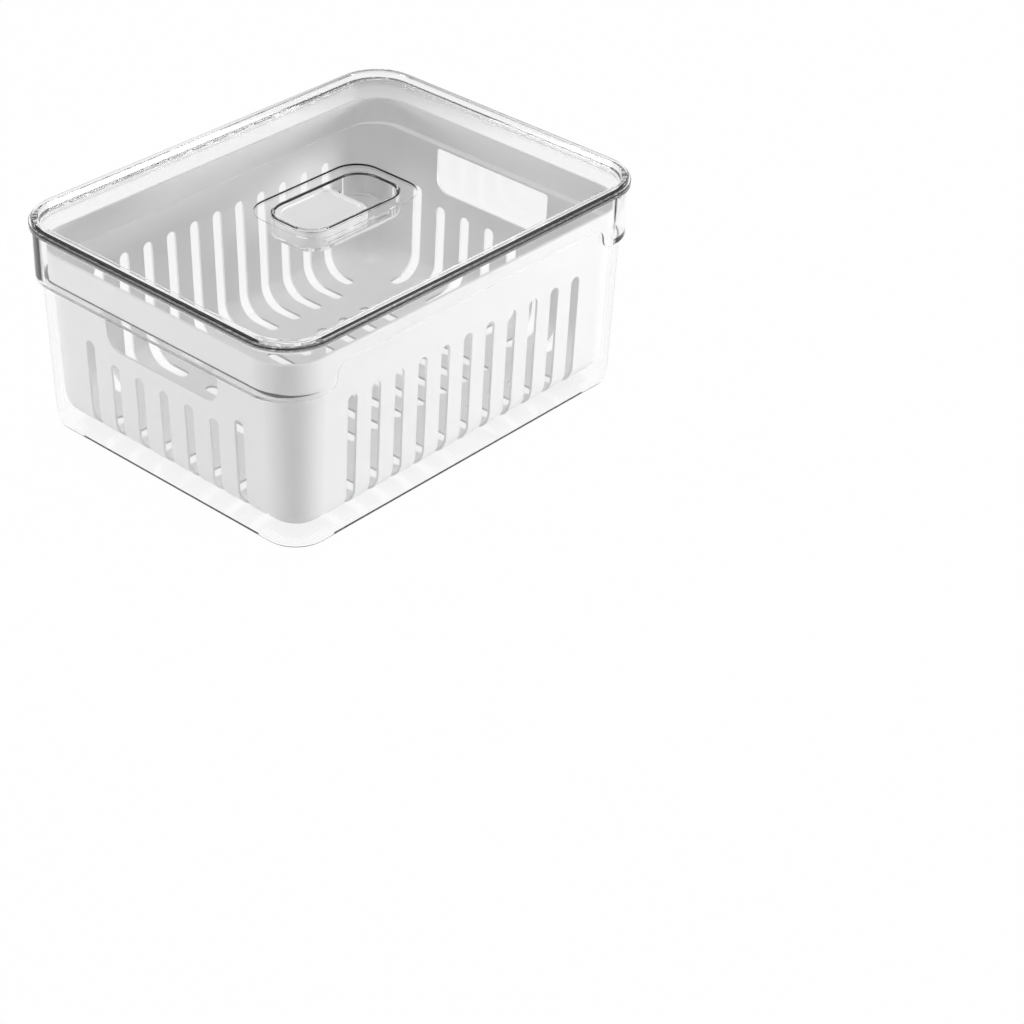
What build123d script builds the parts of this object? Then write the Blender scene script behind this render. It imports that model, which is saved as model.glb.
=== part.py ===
from build123d import *
from math import isclose, radians, tan
import os

os.makedirs("parts", exist_ok=True)

# Fridge organizer bin: a clear outer bin, a white slotted basket that hangs in it, a clear lid, and a
# white vent slider in the lid's finger cup. Origin at the middle of the footprint, +X along the long
# side, +Y to the back, +Z up. Millimetres.

# Driving sizes
length = 290.0  # lid flange, along X
width = 218.0  # lid flange, along Y
height = 133.0  # feet to the top of the lid's rim
flange_corner = 29.0  # plan radius of the lid's corners
running_gap = 0.3  # between pieces that slide past each other

# Clear bin
clear_wall = 2.2
foot_height = 2.0
foot_edge_inset = 4.5  # from the base's edge to the foot
foot_width = 5.5
foot_reach = 32.0  # how far each arm of a corner foot runs, from the base's edge
foot_end_chamfer = 1.6
base_end_inset = 10.0  # from the lid's edge to the base, at the ends
base_side_inset = 5.9  # the same, on the long sides
base_length = length - 2 * base_end_inset
base_width = width - 2 * base_side_inset
base_corner = 21.0
bin_draft = 1.72  # degrees
base_edge_radius = 3.0
lid_flange_thickness = 3.0
lid_rim_above_flange = 2.3
bin_height = height - lid_rim_above_flange - lid_flange_thickness
band_end_inset = 1.6  # from the lid's edge to the proud band under it, at the ends
band_side_inset = 1.8  # the same, on the long sides
band_length = length - 2 * band_end_inset
band_width = width - 2 * band_side_inset
band_corner = flange_corner - band_side_inset
band_depth = 30.7  # bin's top down to the band's lower edge, at the ends and corners
band_bottom = bin_height - band_depth
sweep_rise = 14.0  # how much higher that lower edge runs along the long sides
band_raised_bottom = band_bottom + sweep_rise
window_end_inset = 38.5  # from the lid's edge to where the lower edge stands upright
window_half_length = length / 2 - window_end_inset
sweep_radius = sweep_rise / 2  # of each half of the S where it rises
band_side_wall = 3.6  # leaves the mouth no wider than the drafted room, so no step on the long sides
shelf_thickness = 2.0
shelf_height = band_bottom + shelf_thickness  # inner shelf that the basket hangs on
mouth_length = band_length - 2 * clear_wall
mouth_width = band_width - 2 * band_side_wall
mouth_corner = band_corner - clear_wall
bin_floor = foot_height + clear_wall

# Basket
basket_wall = 1.5
basket_above_floor = 3.9
basket_underside = bin_floor + basket_above_floor
basket_rim_drop = 11.5  # below the bin's top edge
basket_rim = bin_height - basket_rim_drop
basket_draft = 1.8
waist_corner = 22.0
basket_floor_radius = 15.0  # outside, floor to wall
step_top = shelf_height + basket_wall
collar_end_gap = 3.7  # to the bin's mouth, at the ends
collar_side_gap = 2.0
collar_length = mouth_length - 2 * collar_end_gap  # outside, above the step
collar_width = mouth_width - 2 * collar_side_gap
waist_end_inset = 4.9  # from the collar's outside to the waist's, just below the step
waist_side_inset = 0.8
waist_length = collar_length - 2 * waist_end_inset
waist_width = collar_width - 2 * waist_side_inset
collar_corner = 23.8
collar_wall = 1.8
collar_draft = 0.6
rim_chamfer = 0.5
slot_width = 7.0
long_slot_count = 11
long_slot_pitch = 18.0
long_slot_top = shelf_height - 15.0
short_slot_count = 7
short_slot_pitch = 19.7
short_slot_top = shelf_height - 38.0
outer_slot_top = shelf_height - 30.5  # the two slots that flank the hand hole
slot_reach = 28.0  # how far a slot runs in over the floor
corner_slot_reach = 20.0  # the same, next to the corners
floor_slot_count = 9  # across the middle of the floor, in line with the long sides' slots
floor_slot_length = 102.0
hand_hole_length = 88.0
hand_hole_bottom = shelf_height - 28.3
hand_hole_corner = 10.0
hand_hole_top_corner = 2.0

# Lid
lid_wall = 2.0
flange_bottom = bin_height
flange_top = flange_bottom + lid_flange_thickness
rim_inset = 1.3
rim_edge_chamfer = 0.8
flange_edge_chamfer = 0.4
panel_inset = 6.2  # from the lid's edge to the recessed panel
panel_depth = 4.5  # below the top of the rim
panel_draft = 15.0  # of the rim's inner wall
panel_top = height - panel_depth
plug_gap = 0.4  # between the lid's plug and the mouth of the bin
plug_depth = 3.0
plug_wall = 1.8
well_length = 91.0  # shallow well round the finger cup
well_width = 57.0
well_corner = 16.0
well_depth = 1.2
well_slope_run = 8.0  # how far the well's underside slopes out to the panel's
cup_length = 78.6  # finger cup, outside
cup_width = 41.2
cup_corner = 15.0
cup_wall = 2.2
cup_depth = 15.2  # panel to the underside of the cup
cup_edge_chamfer = 1.2
cup_rim_chamfer = 0.6
well_floor = panel_top - well_depth
cup_underside = panel_top - cup_depth
cup_floor = cup_underside + lid_wall
room_length = cup_length - 2 * cup_wall
room_width = cup_width - 2 * cup_wall
room_corner = cup_corner - cup_wall
vent_width = 4.0
vent_length = 22.0
vent_pitch = 7.0
vent_count = 3
vent_from_end = 3.6  # cup's end wall to the first vent

# Vent slider
slider_travel = 22.0
slider_length = 46.6
slider_nose_corner = 7.0
slider_drop = 1.2  # its top below the panel
slider_top = panel_top - slider_drop
slider_wall = 1.8
slider_border = 3.0
slider_dish = 0.8
slider_edge_chamfer = 0.6
tongue_length = 26.0
tongue_height = 1.2
tongue_reach = 0.6  # into the cup's wall
tongue_above_floor = 2.4
slider_width = room_width - 2 * running_gap
slider_end = running_gap - room_length / 2
slider_middle = slider_end + slider_length / 2
slider_underside = cup_floor + running_gap
groove_height = tongue_height + 2 * running_gap
groove_span = room_width + 2 * (tongue_reach + running_gap)


def ladder(count, pitch):
    """Evenly spaced places along a wall, centred on its middle."""
    return [pitch * (k - (count - 1) / 2) for k in range(count)]


def on_cup_rim(edge):
    """Whether an edge lies on the top of the finger cup's wall."""
    middle = edge.center()
    return abs(middle.X) < cup_length / 2 + 1 and abs(middle.Y) < cup_width / 2 + 1


# Clear bin: a drafted tub with rounded base edges
with BuildPart() as tub:
    with BuildSketch(Plane.XY.offset(foot_height)):
        RectangleRounded(base_length, base_width, base_corner)
    extrude(amount=bin_height - foot_height, taper=-bin_draft)
    fillet(tub.edges().group_by(Axis.Z)[0], radius=base_edge_radius)

# The proud band under the lid, whose lower edge sweeps up in an S along both long sides
with BuildPart() as band:
    with BuildSketch(Plane.XY.offset(band_bottom)):
        RectangleRounded(band_length, band_width, band_corner)
    extrude(amount=bin_height - band_bottom)
    with BuildSketch(Plane.XZ):
        with BuildLine():
            foot_of_sweep = (window_half_length + sweep_radius, band_bottom)
            turn_of_sweep = (window_half_length, band_bottom + sweep_radius)
            head_of_sweep = (window_half_length - sweep_radius, band_raised_bottom)
            below = band_bottom - sweep_radius
            RadiusArc(foot_of_sweep, turn_of_sweep, sweep_radius)
            RadiusArc(turn_of_sweep, head_of_sweep, -sweep_radius)
            Polyline(head_of_sweep, (0, band_raised_bottom), (0, below))
            Polyline((0, below), (foot_of_sweep[0], below), foot_of_sweep)
        make_face()
        mirror(about=Plane.YZ)
    extrude(amount=band_width, both=True, mode=Mode.SUBTRACT)

# An L-shaped foot under each corner
with BuildPart() as feet:
    with BuildSketch() as feet_plan:
        outer = 2 * foot_edge_inset
        inner = outer + 2 * foot_width
        arm_ends = 2 * foot_reach
        RectangleRounded(
            base_length - outer,
            base_width - outer,
            base_corner - foot_edge_inset,
        )
        RectangleRounded(
            base_length - inner,
            base_width - inner,
            base_corner - foot_edge_inset - foot_width,
            mode=Mode.SUBTRACT,
        )
        Rectangle(base_length, base_width - arm_ends, mode=Mode.SUBTRACT)
        Rectangle(base_length - arm_ends, base_width, mode=Mode.SUBTRACT)
        end_x = base_length / 2 - foot_reach
        end_y = base_width / 2 - foot_reach
        arm_corners = [
            v for v in feet_plan.vertices()
            if isclose(abs(v.X), end_x, abs_tol=0.01) or isclose(abs(v.Y), end_y, abs_tol=0.01)
        ]
        chamfer(arm_corners, length=foot_end_chamfer)
    extrude(amount=foot_height)

with BuildPart() as clear_bin:
    add(tub.part)
    add(band.part)
    add(feet.part)
    # inside: a drafted room, and a longer mouth above the shelf at each end
    with BuildSketch(Plane.XY.offset(bin_floor)):
        RectangleRounded(
            base_length - 2 * clear_wall,
            base_width - 2 * clear_wall,
            base_corner - clear_wall,
        )
    extrude(amount=bin_height - bin_floor, taper=-bin_draft, mode=Mode.SUBTRACT)
    with BuildSketch(Plane.XY.offset(shelf_height)):
        RectangleRounded(mouth_length, mouth_width, mouth_corner)
    extrude(amount=bin_height - shelf_height, mode=Mode.SUBTRACT)
clear_bin.part.label = "clear_bin"
export_step(clear_bin.part, "parts/clear_bin.step")

# Basket: a drafted colander with a large floor radius
shrink = 2 * (step_top - basket_underside) * tan(radians(basket_draft))
with BuildPart() as colander:
    with BuildSketch(Plane.XY.offset(basket_underside)):
        RectangleRounded(
            waist_length - shrink,
            waist_width - shrink,
            waist_corner - shrink / 2,
        )
    extrude(amount=step_top - basket_underside, taper=-basket_draft)
    fillet(colander.edges().group_by(Axis.Z)[0], radius=basket_floor_radius)

# The room inside it
with BuildPart() as basket_room:
    with BuildSketch(Plane.XY.offset(basket_underside + basket_wall)):
        RectangleRounded(
            waist_length - shrink - 2 * basket_wall,
            waist_width - shrink - 2 * basket_wall,
            waist_corner - shrink / 2 - basket_wall,
        )
    extrude(amount=step_top - basket_underside - basket_wall, taper=-basket_draft)
    fillet(
        basket_room.edges().group_by(Axis.Z)[0],
        radius=basket_floor_radius - basket_wall,
    )

# Its collar, on a step that sits on the bin's shelf at both ends
with BuildPart() as collar:
    with BuildSketch(Plane.XY.offset(shelf_height)):
        RectangleRounded(collar_length, collar_width, collar_corner)
    extrude(amount=basket_rim - shelf_height, taper=-collar_draft)
    chamfer(collar.edges().group_by(Axis.Z)[-1], length=rim_chamfer)
    with BuildSketch(Plane.XY.offset(step_top)):
        RectangleRounded(
            collar_length - 2 * collar_wall,
            collar_width - 2 * collar_wall,
            collar_corner - collar_wall,
        )
    extrude(amount=basket_rim - step_top, taper=-collar_draft, mode=Mode.SUBTRACT)

# Drain slots: the plan gives their round inner ends over the floor, the elevation their round tops
with BuildPart() as long_slots:
    with BuildSketch():
        for x in ladder(long_slot_count, long_slot_pitch):
            at_corner = abs(x) > long_slot_pitch * (long_slot_count - 2) / 2
            run = corner_slot_reach if at_corner else slot_reach
            middle = (waist_width - shrink) / 2 - basket_wall - run / 2 + slot_width
            with Locations((x, middle), (x, -middle)):
                SlotOverall(run + 2 * slot_width, slot_width, rotation=90)
    extrude(amount=long_slot_top)
    with BuildSketch(Plane.XZ):
        with Locations([(x, long_slot_top / 2) for x in ladder(long_slot_count, long_slot_pitch)]):
            SlotOverall(long_slot_top, slot_width, rotation=90)
    extrude(amount=waist_width, both=True, mode=Mode.INTERSECT)

with BuildPart() as short_slots:
    with BuildSketch():
        for y in ladder(short_slot_count, short_slot_pitch):
            at_corner = abs(y) > short_slot_pitch * (short_slot_count - 2) / 2
            run = corner_slot_reach if at_corner else slot_reach
            middle = (waist_length - shrink) / 2 - basket_wall - run / 2 + slot_width
            with Locations((middle, y), (-middle, y)):
                SlotOverall(run + 2 * slot_width, slot_width)
    extrude(amount=outer_slot_top)
    with BuildSketch(Plane.YZ):
        for y in ladder(short_slot_count, short_slot_pitch):
            at_corner = abs(y) > short_slot_pitch * (short_slot_count - 2) / 2
            top = outer_slot_top if at_corner else short_slot_top
            with Locations((y, top / 2)):
                SlotOverall(top, slot_width, rotation=90)
    extrude(amount=waist_length, both=True, mode=Mode.INTERSECT)

# Slots across the middle of the floor
with BuildPart() as floor_slots:
    with BuildSketch():
        with Locations([(x, 0) for x in ladder(floor_slot_count, long_slot_pitch)]):
            SlotOverall(floor_slot_length, slot_width, rotation=90)
    extrude(amount=basket_underside + 2 * basket_wall)

with BuildPart() as basket:
    add(colander.part)
    add(collar.part)
    add(basket_room.part, mode=Mode.SUBTRACT)
    add(long_slots.part, mode=Mode.SUBTRACT)
    add(short_slots.part, mode=Mode.SUBTRACT)
    add(floor_slots.part, mode=Mode.SUBTRACT)
    # a hand hole in each end, open up to the step
    with BuildSketch(Plane.YZ) as hand_hole:
        with Locations((0, hand_hole_bottom)):
            Rectangle(
                hand_hole_length,
                shelf_height - hand_hole_bottom,
                align=(Align.CENTER, Align.MIN),
            )
        fillet(hand_hole.vertices().group_by(Axis.Y)[0], radius=hand_hole_corner)
        fillet(hand_hole.vertices().group_by(Axis.Y)[-1], radius=hand_hole_top_corner)
    extrude(amount=waist_length, both=True, mode=Mode.SUBTRACT)
basket.part.label = "basket"
export_step(basket.part, "parts/basket.step")

# Lid: flange, raised stacking rim, and a plug that drops into the bin's mouth
with BuildPart() as lid:
    with BuildSketch(Plane.XY.offset(flange_bottom)):
        RectangleRounded(length, width, flange_corner)
    extrude(amount=lid_flange_thickness)
    chamfer(lid.edges().group_by(Axis.Z)[-1], length=flange_edge_chamfer)
    with BuildSketch(Plane.XY.offset(flange_top)):
        RectangleRounded(
            length - 2 * rim_inset,
            width - 2 * rim_inset,
            flange_corner - rim_inset,
        )
    extrude(amount=lid_rim_above_flange)
    chamfer(lid.edges().group_by(Axis.Z)[-1], length=rim_edge_chamfer)
    with BuildSketch(Plane.XY.offset(flange_bottom - plug_depth)):
        RectangleRounded(
            mouth_length - 2 * plug_gap,
            mouth_width - 2 * plug_gap,
            mouth_corner - plug_gap,
        )
    extrude(amount=plug_depth)
    with BuildSketch(Plane.XY.offset(flange_bottom - plug_depth)):
        RectangleRounded(
            mouth_length - 2 * (plug_gap + plug_wall),
            mouth_width - 2 * (plug_gap + plug_wall),
            mouth_corner - plug_gap - plug_wall,
        )
    extrude(
        amount=panel_top - lid_wall - flange_bottom + plug_depth,
        mode=Mode.SUBTRACT,
    )
    # the recessed panel, inside the rim
    with BuildSketch(Plane.XY.offset(panel_top)):
        RectangleRounded(
            length - 2 * panel_inset,
            width - 2 * panel_inset,
            flange_corner - panel_inset,
        )
    extrude(amount=panel_depth, taper=-panel_draft, mode=Mode.SUBTRACT)
    # underside of the shallow well, and the outside of the finger cup
    with BuildSketch(Plane.XY.offset(well_floor - lid_wall)):
        RectangleRounded(
            well_length + 2 * lid_wall,
            well_width + 2 * lid_wall,
            well_corner + lid_wall,
        )
    with BuildSketch(Plane.XY.offset(panel_top - lid_wall)):
        RectangleRounded(
            well_length + 2 * (lid_wall + well_slope_run),
            well_width + 2 * (lid_wall + well_slope_run),
            well_corner + lid_wall + well_slope_run,
        )
    loft()
    with BuildSketch(Plane.XY.offset(cup_underside)):
        RectangleRounded(cup_length, cup_width, cup_corner)
    extrude(amount=cup_depth)
    chamfer(lid.edges().group_by(Axis.Z)[0], length=cup_edge_chamfer)
    # the shallow well, and the room inside the cup
    with BuildSketch(Plane.XY.offset(well_floor)):
        RectangleRounded(well_length, well_width, well_corner)
        RectangleRounded(cup_length, cup_width, cup_corner, mode=Mode.SUBTRACT)
    extrude(amount=well_depth, mode=Mode.SUBTRACT)
    with BuildSketch(Plane.XY.offset(cup_floor)):
        RectangleRounded(room_length, room_width, room_corner)
    extrude(amount=panel_top - cup_floor, mode=Mode.SUBTRACT)
    cup_rim = lid.edges().filter_by_position(Axis.Z, panel_top, panel_top).filter_by(on_cup_rim)
    chamfer(cup_rim, length=cup_rim_chamfer)
    # vents in the cup's floor, under the slider
    first_vent = vent_from_end + vent_width / 2 - room_length / 2
    with BuildSketch(Plane.XY.offset(cup_underside)):
        with Locations([(first_vent + k * vent_pitch, 0) for k in range(vent_count)]):
            SlotOverall(vent_length, vent_width, rotation=90)
    extrude(amount=lid_wall, mode=Mode.SUBTRACT)
    # grooves for the slider's tongues, as long as the tongues and their travel
    with BuildSketch(Plane.XY.offset(slider_underside + tongue_above_floor - running_gap)):
        with Locations((slider_middle + slider_travel / 2, 0)):
            Rectangle(tongue_length + slider_travel + 2 * running_gap, groove_span)
    extrude(amount=groove_height, mode=Mode.SUBTRACT)
lid.part.label = "lid"
export_step(lid.part, "parts/lid.step")

# Vent slider: round where it meets the cup's end, nearly square at its nose, dished on top, hollow
# below, with a tongue on each side
with BuildPart() as vent_slider:
    with BuildSketch(Plane.XY.offset(slider_underside)) as slider_plan:
        with Locations((slider_middle, 0)):
            Rectangle(slider_length, slider_width)
        fillet(slider_plan.vertices().group_by(Axis.X)[0], radius=room_corner - running_gap)
        fillet(slider_plan.vertices().group_by(Axis.X)[-1], radius=slider_nose_corner)
    extrude(amount=slider_top - slider_underside)
    chamfer(vent_slider.edges().group_by(Axis.Z)[-1], length=slider_edge_chamfer)
    with BuildSketch(Plane.XY.offset(slider_underside)):
        offset(slider_plan.sketch.face(), amount=-slider_wall)
    extrude(
        amount=slider_top - slider_dish - slider_wall - slider_underside,
        mode=Mode.SUBTRACT,
    )
    with BuildSketch(Plane.XY.offset(slider_top - slider_dish)):
        offset(slider_plan.sketch.face(), amount=-slider_border)
    extrude(amount=slider_dish, taper=-panel_draft, mode=Mode.SUBTRACT)
    with BuildSketch(Plane.XY.offset(slider_underside + tongue_above_floor)):
        for side in (1, -1):
            inner_side = slider_width / 2 - slider_wall
            outer_side = room_width / 2 + tongue_reach
            with Locations((slider_middle, side * (inner_side + outer_side) / 2)):
                Rectangle(tongue_length, outer_side - inner_side)
    extrude(amount=tongue_height)
vent_slider.part.label = "vent_slider"
export_step(vent_slider.part, "parts/vent_slider.step")
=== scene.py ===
# %% [markdown]
# # A clear fridge bin with a white basket, photographed on white
# The imported model already holds every moulded piece at its real size: a clear bin, a white drain
# basket, a clear lid and a white vent slider. So this lesson is about plastic and light. It gives
# each piece the plastic it is moulded in, then builds the small studio that makes clear plastic
# readable on a white ground. We load the model first.

import math

import bpy
from mathutils import Matrix, Vector


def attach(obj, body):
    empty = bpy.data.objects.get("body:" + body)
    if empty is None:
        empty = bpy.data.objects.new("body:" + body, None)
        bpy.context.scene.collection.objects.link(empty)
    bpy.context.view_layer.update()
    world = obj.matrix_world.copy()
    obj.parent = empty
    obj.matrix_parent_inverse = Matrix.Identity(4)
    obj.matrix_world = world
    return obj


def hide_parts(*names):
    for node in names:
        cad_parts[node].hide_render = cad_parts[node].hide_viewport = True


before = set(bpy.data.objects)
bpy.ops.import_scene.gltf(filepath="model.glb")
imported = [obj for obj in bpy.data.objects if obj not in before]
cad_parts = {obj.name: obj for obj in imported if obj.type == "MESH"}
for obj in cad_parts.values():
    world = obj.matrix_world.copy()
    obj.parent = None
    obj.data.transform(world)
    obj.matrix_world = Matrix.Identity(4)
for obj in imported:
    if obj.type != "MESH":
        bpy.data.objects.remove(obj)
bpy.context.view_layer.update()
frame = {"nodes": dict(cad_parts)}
pieces = frame["nodes"]
bpy.ops.object.select_all(action="DESELECT")

# %% [markdown]
# The photograph looks down on the near corner from about shoulder height, through a long lens, so
# the far edges hardly shrink. The bin stands at the upper left of the frame, so the camera aims at
# a point beside it. A Track To constraint could aim it, but here the direction is known as angles,
# so three turns and one move build its matrix: swing it round, tip it down, then roll it a little.

# %% Camera
aim_point = Vector((0.04043, -0.10273, -0.05207))
camera_azimuth = math.radians(-49.493)
camera_elevation = math.radians(33.644)
camera_roll = math.radians(2.084)
camera_distance = 1.5621
lens_mm = 94.08

camera_data = bpy.data.cameras.new("camera")
camera_data.lens = lens_mm
camera_data.clip_start = 0.05
camera_data.clip_end = 30
camera = bpy.data.objects.new("camera", camera_data)
bpy.context.scene.collection.objects.link(camera)
camera.matrix_world = (
    Matrix.Translation(aim_point)
    @ Matrix.Rotation(camera_azimuth, 4, "Z")
    @ Matrix.Rotation(math.pi / 2 - camera_elevation, 4, "X")
    @ Matrix.Rotation(camera_roll, 4, "Z")
    @ Matrix.Translation((0, 0, camera_distance))
)
bpy.context.scene.camera = camera
print("camera at", [round(v, 3) for v in camera.matrix_world.translation])

# %% [markdown]
# Colours are written as the hex values that a paint program shows. Cycles calculates in linear
# light, so one function does the turn. A second small helper adds a node with its settings and
# links, which keeps each material as short as its idea. Some inputs share a name, such as the two
# shaders of a mix, so an input can be given by its number too.


# %% Helpers for colours and nodes
def linear(hex_colour):
    """sRGB hex, such as '#F2F2F0', to linear RGBA."""
    channels = [int(hex_colour[i : i + 2], 16) / 255 for i in (1, 3, 5)]
    return [c / 12.92 if c <= 0.04045 else ((c + 0.055) / 1.055) ** 2.4 for c in channels] + [1.0]


def add_node(tree, kind, settings=(), links=()):
    """Adds a node, sets its inputs or properties, and links its inputs, by name or number."""
    node = tree.nodes.new(kind)
    for key, value in dict(settings).items():
        if isinstance(key, int) or key in node.inputs:
            node.inputs[key].default_value = value
        else:
            setattr(node, key, value)
    for key, source in dict(links).items():
        tree.links.new(source, node.inputs[key])
    return node


def new_material(name):
    """An empty material and its node tree."""
    material = bpy.data.materials.new(name)
    material.use_nodes = True
    material.node_tree.nodes.clear()
    return material, material.node_tree


def dress(node_name, material):
    """Puts a material on every slot of a piece."""
    piece = pieces[node_name]
    if not piece.material_slots:
        piece.data.materials.append(material)
    for slot in piece.material_slots:
        slot.material = material
    print(node_name, "is now", material.name)


# %% [markdown]
# ## The lid that is seen
# The lid's panel slopes down a little round the finger cup, on its underside. Through clear
# plastic that slope is a prism and draws a line, which the photograph doesn't show, so the lid
# that is looked at has it level. Rebuilding the lid isn't needed: a copy of its mesh has the same
# outline, and only the points on the slope move up to the panel. Their faces now look straight
# down, so their normals are set to that, and all other normals stay as they were.

# %% The lid that is seen
bpy.ops.object.select_all(action="DESELECT")
pieces["lid"].select_set(True)
bpy.context.view_layer.objects.active = pieces["lid"]
bpy.ops.object.duplicate()
seen_lid = bpy.context.object
seen_lid.name = "lid_seen"
lid_mesh = seen_lid.data

slope_foot = 0.1253
panel_underside = 0.1265
point_tolerance = 1e-5
face_tolerance = 1e-6

levelled = [v for v in lid_mesh.vertices if slope_foot - point_tolerance < v.co.z < panel_underside]
for v in levelled:
    v.co.z = panel_underside
lid_mesh.update()
corner_normals = [corner.vector.copy() for corner in lid_mesh.corner_normals]
for face in lid_mesh.polygons:
    heights = [lid_mesh.vertices[i].co.z for i in face.vertices]
    if max(abs(z - panel_underside) for z in heights) < face_tolerance:
        for corner in face.loop_indices:
            corner_normals[corner] = Vector((0, 0, -1))
lid_mesh.normals_split_custom_set([tuple(normal) for normal in corner_normals])

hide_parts("lid")
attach(seen_lid, "lid")
pieces["lid"] = seen_lid

# %% [markdown]
# ## Clear plastic
# The bin and the lid are moulded in SAN, a clear, glass-like plastic with polished walls about
# 2 mm thick. Real thickness is in the mesh, so refraction alone bends the light at each rim and
# corner. Two things make it plastic and not air: a faint grey that grows with the length of the
# path, which darkens the edges, and polish that isn't perfect, from the mould's flow. Sharp
# shadows through glass are slow and noisy in Cycles, so shadow rays and diffuse rays pass straight
# through with a small loss. A ray that is trapped inside a wall would bounce on and on and come
# out as speckle, so after a few bounces it ends in one plain painted tone that glows in place of
# that light: painted shade, dark, for the bin and painted light, pale, for the lid, as the edges of
# each look in the photograph.

# %% Clear plastic
clear_ior = 1.5
flow_height = 0.0001
poorest_polish = 0.02
straight_through = (0.97, 0.97, 0.97, 1)
body_tint = "#C6C8C8"
body_density = 5.0
most_bounces = 7


def clear_plastic(name, flow_mm, painted_edge_tone):
    """A polished clear plastic, with the size of the mould's flow marks and the tone its edges glow
    in: painted shade when dark, painted light when pale.
    """
    material, tree = new_material(name)
    place = add_node(tree, "ShaderNodeTexCoord")
    path = add_node(tree, "ShaderNodeLightPath")
    flow = add_node(
        tree,
        "ShaderNodeTexNoise",
        {"Scale": 1000 / flow_mm, "Detail": 1.5, "Roughness": 0.4},
        {"Vector": place.outputs["Object"]},
    )
    ripple = add_node(
        tree,
        "ShaderNodeBump",
        {"Strength": 0.03, "Distance": flow_height},
        {"Height": flow.outputs["Fac"]},
    )
    polish = add_node(
        tree,
        "ShaderNodeMapRange",
        {"To Min": 0.0, "To Max": poorest_polish},
        {"Value": flow.outputs["Fac"]},
    )
    shell = add_node(
        tree,
        "ShaderNodeBsdfPrincipled",
        {"Base Color": linear("#FFFFFF"), "IOR": clear_ior, "Transmission Weight": 1.0},
        {"Roughness": polish.outputs["Result"], "Normal": ripple.outputs["Normal"]},
    )
    see_through = add_node(tree, "ShaderNodeBsdfTransparent", {"Color": straight_through})
    soft_ray = add_node(
        tree,
        "ShaderNodeMath",
        {"operation": "MAXIMUM"},
        {0: path.outputs["Is Shadow Ray"], 1: path.outputs["Is Diffuse Ray"]},
    )
    surface = add_node(
        tree,
        "ShaderNodeMixShader",
        {},
        {"Fac": soft_ray.outputs["Value"], 1: shell.outputs["BSDF"], 2: see_through.outputs["BSDF"]},
    )
    # past most_bounces the wall stops bending light and glows one painted tone: painted shade, dark,
    # on the bin's edges, painted light, pale, on the lid's edges
    trapped = add_node(
        tree,
        "ShaderNodeMath",
        {"operation": "GREATER_THAN", 1: most_bounces},
        {0: path.outputs["Ray Depth"]},
    )
    painted_edge_glow = add_node(
        tree, "ShaderNodeEmission", {"Color": linear(painted_edge_tone), "Strength": 1.0}
    )
    wall = add_node(
        tree,
        "ShaderNodeMixShader",
        {},
        {
            "Fac": trapped.outputs["Value"],
            1: surface.outputs["Shader"],
            2: painted_edge_glow.outputs["Emission"],
        },
    )
    body = add_node(
        tree,
        "ShaderNodeVolumeAbsorption",
        {"Color": linear(body_tint), "Density": body_density},
    )
    add_node(
        tree,
        "ShaderNodeOutputMaterial",
        {},
        {"Surface": wall.outputs["Shader"], "Volume": body.outputs["Volume"]},
    )
    return material


# 3A3A3A is painted shade that the bin's edges glow with; #E8E8E8 is painted light that the lid's
# edges glow with
dress("clear_bin", clear_plastic("clear_SAN_moulded", flow_mm=60, painted_edge_tone="#3A3A3A"))
dress("lid", clear_plastic("clear_SAN_lid", flow_mm=80, painted_edge_tone="#E8E8E8"))

# %% [markdown]
# ## White plastic
# The basket is white polypropylene, moulded with a fine satin texture. It is slightly waxy: the
# highlight is broad and soft. A fine noise roughens it, and a slow one lifts and lowers the tone a
# little, as it does where the wall cooled faster. The slider is ABS, whiter and polished.

# %% White plastic
white_ior = 1.49
grain_height = 0.0001
cooling_mm = 70
satin_spread = 0.05


def white_plastic(name, tones, grain_mm, roughness, grain_strength):
    """A white moulded plastic between two tones, with the size of its grain."""
    material, tree = new_material(name)
    place = add_node(tree, "ShaderNodeTexCoord")
    grain = add_node(
        tree,
        "ShaderNodeTexNoise",
        {"Scale": 1000 / grain_mm, "Detail": 2.0},
        {"Vector": place.outputs["Object"]},
    )
    cooling = add_node(
        tree,
        "ShaderNodeTexNoise",
        {"Scale": 1000 / cooling_mm, "Detail": 1.0},
        {"Vector": place.outputs["Object"]},
    )
    # on a colour mix, input 0 is the factor, and 6 and 7 are the two colours
    tone = add_node(
        tree,
        "ShaderNodeMix",
        {"data_type": "RGBA", 6: linear(tones[0]), 7: linear(tones[1])},
        {0: cooling.outputs["Fac"]},
    )
    satin = add_node(
        tree,
        "ShaderNodeMapRange",
        {"To Min": roughness - satin_spread, "To Max": roughness + satin_spread},
        {"Value": grain.outputs["Fac"]},
    )
    surface = add_node(
        tree,
        "ShaderNodeBump",
        {"Strength": grain_strength, "Distance": grain_height},
        {"Height": grain.outputs["Fac"]},
    )
    shell = add_node(
        tree,
        "ShaderNodeBsdfPrincipled",
        {"IOR": white_ior},
        {
            "Base Color": tone.outputs[2],
            "Roughness": satin.outputs["Result"],
            "Normal": surface.outputs["Normal"],
        },
    )
    add_node(tree, "ShaderNodeOutputMaterial", {}, {"Surface": shell.outputs["BSDF"]})
    return material


dress(
    "basket",
    white_plastic(
        "white_polypropylene_satin",
        tones=("#EBEBEB", "#E8E8E8"),
        grain_mm=1.2,
        roughness=0.45,
        grain_strength=0.1,
    ),
)
dress(
    "vent_slider",
    white_plastic(
        "white_ABS_polished",
        tones=("#FCFCFC", "#FAFAFA"),
        grain_mm=2.0,
        roughness=0.22,
        grain_strength=0.05,
    ),
)

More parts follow.
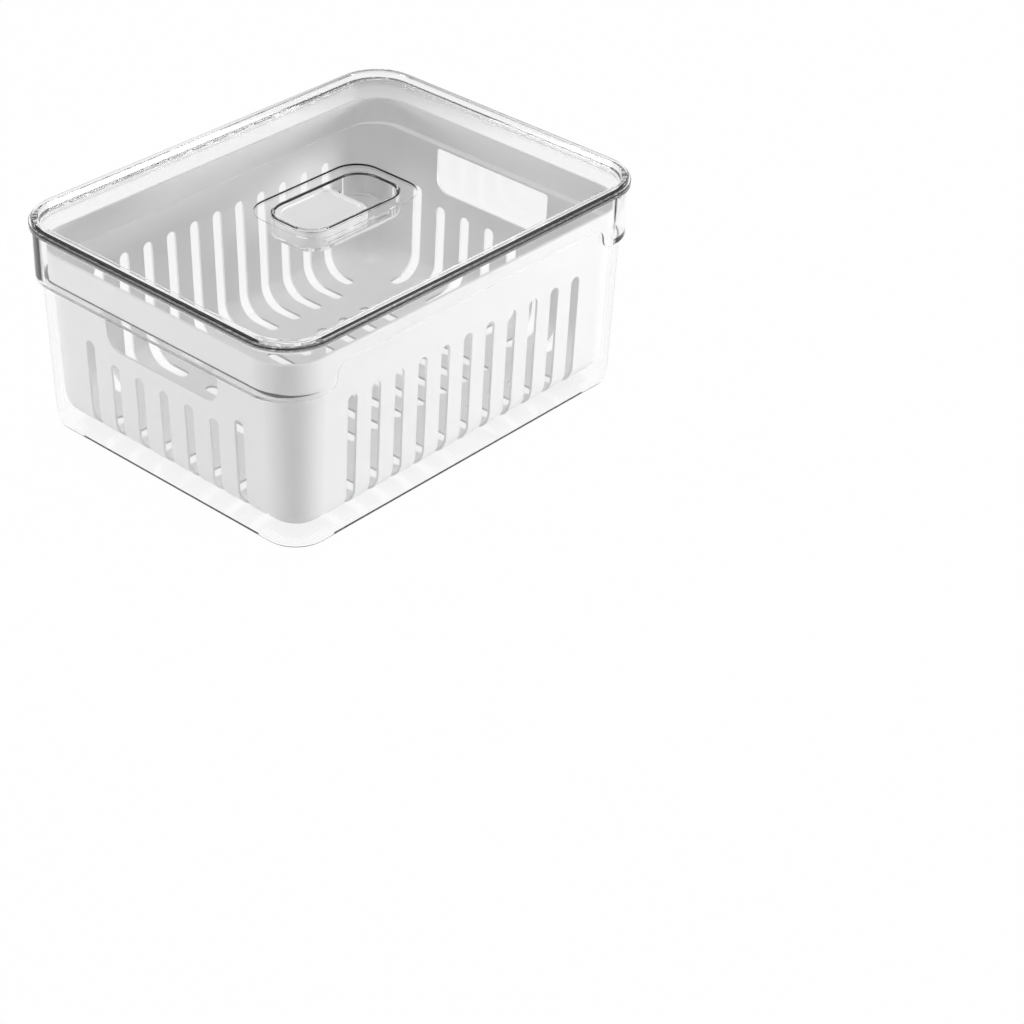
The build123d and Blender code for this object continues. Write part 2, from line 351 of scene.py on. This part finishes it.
# %% [markdown]
# ## The white ground
# The photograph has a pure white ground, so the floor glows white to the camera. To rays that the
# plastic bends or mirrors it glows white only near the bin and fades to dark further out, because
# clear edges show by the dark that they bend into view. To all other light it is an ordinary pale
# floor, which bounces light up into the bin. A small share of that pale floor is mixed into the
# glow, so that a faint shadow stays under the bin.

# %% Floor
floor_radius = 4.0
middle_radius = 0.8
white_until = 0.36
dark_from = 0.5
dark_level = 0.1
glow_share = 0.985

bpy.ops.mesh.primitive_circle_add(
    vertices=96, radius=floor_radius, fill_type="NGON", location=(0, 0, 0)
)
floor = bpy.context.object
floor.name = "floor"
bpy.ops.object.mode_set(mode="EDIT")
bpy.ops.mesh.inset(thickness=floor_radius - middle_radius)
bpy.ops.object.mode_set(mode="OBJECT")

floor_material, tree = new_material("studio_floor")
pale = add_node(tree, "ShaderNodeBsdfDiffuse", {"Color": linear("#F2F2F2")})
path = add_node(tree, "ShaderNodeLightPath")
floor_place = add_node(tree, "ShaderNodeTexCoord")
from_middle = add_node(
    tree,
    "ShaderNodeVectorMath",
    {"operation": "LENGTH"},
    {0: floor_place.outputs["Object"]},
)
fading = add_node(
    tree,
    "ShaderNodeMapRange",
    {"From Min": white_until, "From Max": dark_from, "To Min": 1.0, "To Max": dark_level},
    {"Value": from_middle.outputs["Value"]},
)
brightness = add_node(
    tree,
    "ShaderNodeMath",
    {"operation": "MAXIMUM"},
    {0: path.outputs["Is Camera Ray"], 1: fading.outputs["Result"]},
)
glow = add_node(
    tree,
    "ShaderNodeEmission",
    {"Color": (1, 1, 1, 1)},
    {"Strength": brightness.outputs["Value"]},
)
seen = add_node(
    tree,
    "ShaderNodeMath",
    {"operation": "MAXIMUM"},
    {0: path.outputs["Is Camera Ray"], 1: path.outputs["Is Transmission Ray"]},
)
seen_or_mirrored = add_node(
    tree,
    "ShaderNodeMath",
    {"operation": "MAXIMUM"},
    {0: seen.outputs["Value"], 1: path.outputs["Is Glossy Ray"]},
)
share = add_node(
    tree,
    "ShaderNodeMath",
    {"operation": "MULTIPLY", 1: glow_share},
    {0: seen_or_mirrored.outputs["Value"]},
)
floor_mix = add_node(
    tree,
    "ShaderNodeMixShader",
    {},
    {"Fac": share.outputs["Value"], 1: pale.outputs["BSDF"], 2: glow.outputs["Emission"]},
)
add_node(tree, "ShaderNodeOutputMaterial", {}, {"Surface": floor_mix.outputs["Shader"]})
floor.data.materials.append(floor_material)
print("floor:", len(floor.data.polygons), "faces")

# %% [markdown]
# ## Light for clear plastic
# Clear plastic has no shade of its own. It shows by what its edges bend into view, so the room
# needs something dark as well as something light. The camera sees a plain white world. Mirrored
# and refracted rays see one that is nearly white overhead and falls to dark grey at the horizon,
# as a studio does past its lamps. All other rays see an even grey, a soft light from every side.
# Each of the last two is a ramp over the height of the ray, 0 at the horizon and 1 straight up.

# %% World
room_greys = {0.0: 0.1, 0.3: 0.25, 0.5: 0.9, 0.75: 0.95}
soft_light_greys = {0.0: 0.4, 0.9: 0.445}

world = bpy.data.worlds.new("studio")
bpy.context.scene.world = world
world.use_nodes = True
tree = world.node_tree
tree.nodes.clear()
sky_place = add_node(tree, "ShaderNodeTexCoord")
height_of_ray = add_node(
    tree, "ShaderNodeSeparateXYZ", {}, {"Vector": sky_place.outputs["Generated"]}
)
skies = []
for greys in (room_greys, soft_light_greys):
    ramp = add_node(tree, "ShaderNodeValToRGB", {}, {"Fac": height_of_ray.outputs["Z"]})
    stops = ramp.color_ramp.elements
    stops[1].position = max(greys)
    for height in sorted(greys)[1:-1]:
        stops.new(height)
    for stop, height in zip(stops, sorted(greys)):
        stop.color = (greys[height], greys[height], greys[height], 1)
    skies.append(
        add_node(
            tree, "ShaderNodeBackground", {"Strength": 1.0}, {"Color": ramp.outputs["Color"]}
        )
    )
bent, plain = skies
white = add_node(tree, "ShaderNodeBackground", {"Color": (1, 1, 1, 1), "Strength": 1.0})
path = add_node(tree, "ShaderNodeLightPath")
through = add_node(
    tree,
    "ShaderNodeMath",
    {"operation": "MAXIMUM"},
    {0: path.outputs["Is Transmission Ray"], 1: path.outputs["Is Glossy Ray"]},
)
bent_or_plain = add_node(
    tree,
    "ShaderNodeMixShader",
    {},
    {
        "Fac": through.outputs["Value"],
        1: plain.outputs["Background"],
        2: bent.outputs["Background"],
    },
)
all_rays = add_node(
    tree,
    "ShaderNodeMixShader",
    {},
    {
        "Fac": path.outputs["Is Camera Ray"],
        1: bent_or_plain.outputs["Shader"],
        2: white.outputs["Background"],
    },
)
add_node(tree, "ShaderNodeOutputWorld", {}, {"Surface": all_rays.outputs["Shader"]})
print("world:", len(tree.nodes), "nodes")

# %% [markdown]
# Three area lamps shape the object. Two long, low ones stand to the left and the right and light
# the two sides that the photograph shows, the right one more strongly, because the long side is
# the brighter one. Low lamps light the outside of the bin and not the floor of the basket. A
# smaller lamp far overhead lights the pad and the basket's floor through the lid.

# %% Lamps
middle_of_bin = Vector((0, 0, 0.06))


def soft_lamp(name, place, width, height, watts):
    """A rectangular area lamp that faces the middle of the bin."""
    data = bpy.data.lights.new(name, "AREA")
    data.shape = "RECTANGLE"
    data.size = width
    data.size_y = height
    data.energy = watts
    lamp = bpy.data.objects.new(name, data)
    bpy.context.scene.collection.objects.link(lamp)
    lamp.location = place
    lamp.rotation_euler = (middle_of_bin - Vector(place)).to_track_quat("-Z", "Y").to_euler()


soft_lamp("left_lamp", (-1.5, 1.25, 0.2), width=1.0, height=0.36, watts=17.7)
soft_lamp("right_lamp", (1.3, -1.55, 0.2), width=1.0, height=0.36, watts=29.5)
soft_lamp("top_lamp", (0, 0, 2.2), width=0.5, height=0.5, watts=12)

# %% [markdown]
# Standard is the plain view transform: white stays white and each colour stays as written. Light
# crosses many clear walls on its way through the lid, the bin and back, so it may bounce often.

# %% Finish
light_bounces = 32
bpy.context.scene.view_settings.view_transform = "Standard"
bpy.context.scene.cycles.max_bounces = light_bounces
bpy.context.scene.cycles.transmission_bounces = light_bounces
